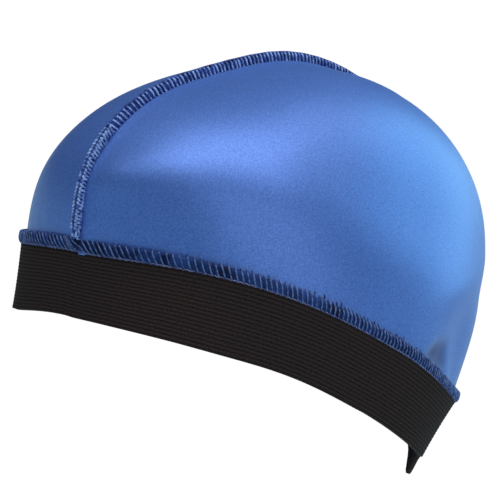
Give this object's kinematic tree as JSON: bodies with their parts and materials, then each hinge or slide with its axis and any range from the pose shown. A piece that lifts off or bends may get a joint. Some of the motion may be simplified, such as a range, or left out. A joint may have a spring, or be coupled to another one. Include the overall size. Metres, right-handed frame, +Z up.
{
  "type": "wave cap",
  "caption": "Close-fitting stretch satin cap with a raised centre seam and an overlocked seam on a wide ribbed elastic band.",
  "frame": {"origin": "centre of the head opening, in the plane of the rim where the crown is sewn to the band", "axes": "+Z up as worn, the wearer faces -Y, +X is the wearer's left"},
  "size_m": [0.1759, 0.2008, 0.1649],
  "materials": {
    "satin": "royal blue stretch satin, soft sheen, fine knit grain",
    "thread": "navy overlock thread over the satin's turned edge",
    "elastic": "near-black knitted elastic with fine lengthwise ribs"
  },
  "bodies": {
    "root": {"crown_left": "satin", "crown_right": "satin", "crown_seam": "thread", "band_seam": "thread", "band": "elastic"}
  },
  "joints": []
}
